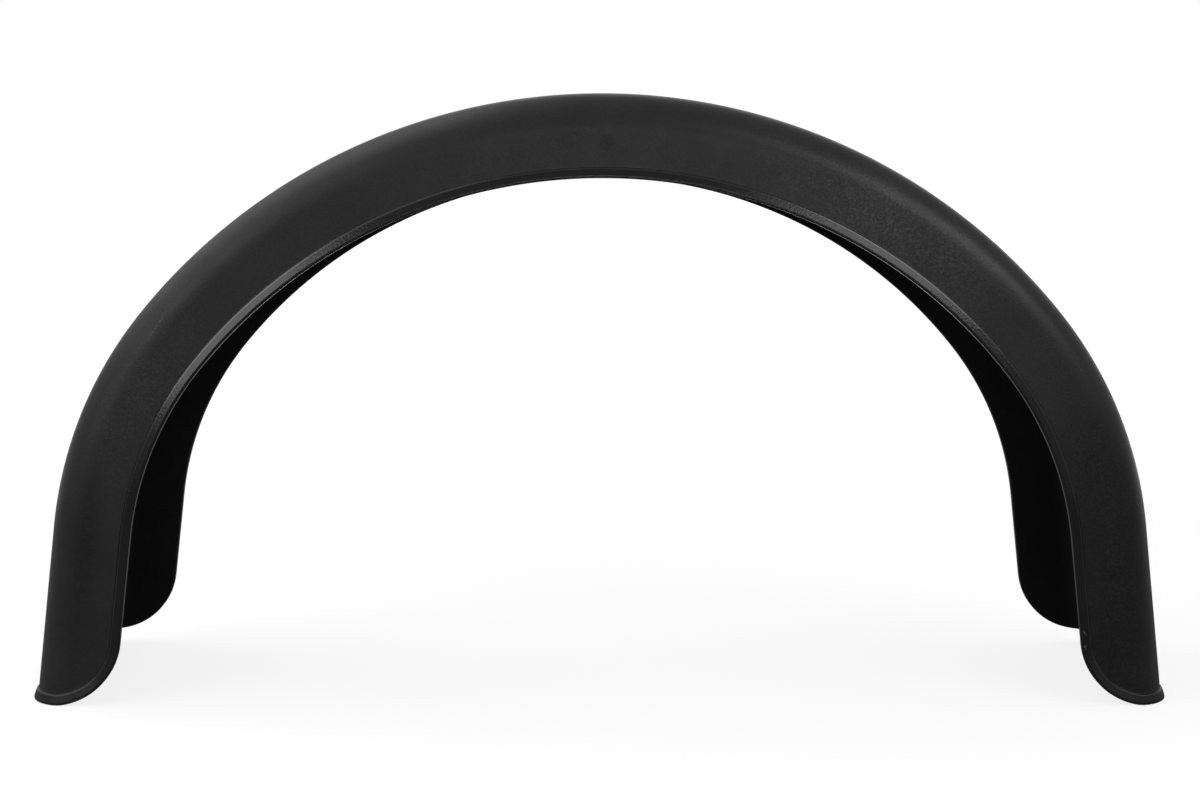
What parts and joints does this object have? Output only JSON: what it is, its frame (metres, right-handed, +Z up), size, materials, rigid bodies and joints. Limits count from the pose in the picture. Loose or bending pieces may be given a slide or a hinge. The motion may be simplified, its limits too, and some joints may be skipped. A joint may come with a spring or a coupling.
{
  "type": "trailer mudguard",
  "caption": "One-piece moulded plastic trailer mudguard: a C-shaped channel arched over the wheel, with two splayed legs and a raised lip along every edge.",
  "frame": {"origin": "middle of the box's underside, on the floor that the outer side's ends stand on", "axes": "+X along the trailer, +Y across it towards the vehicle's side, +Z up"},
  "size_m": [0.7732, 0.2, 0.4094],
  "materials": {
    "moulding": "black moulded plastic, satin, fine grain"
  },
  "bodies": {
    "root": {"mudguard": "moulding"}
  },
  "joints": []
}
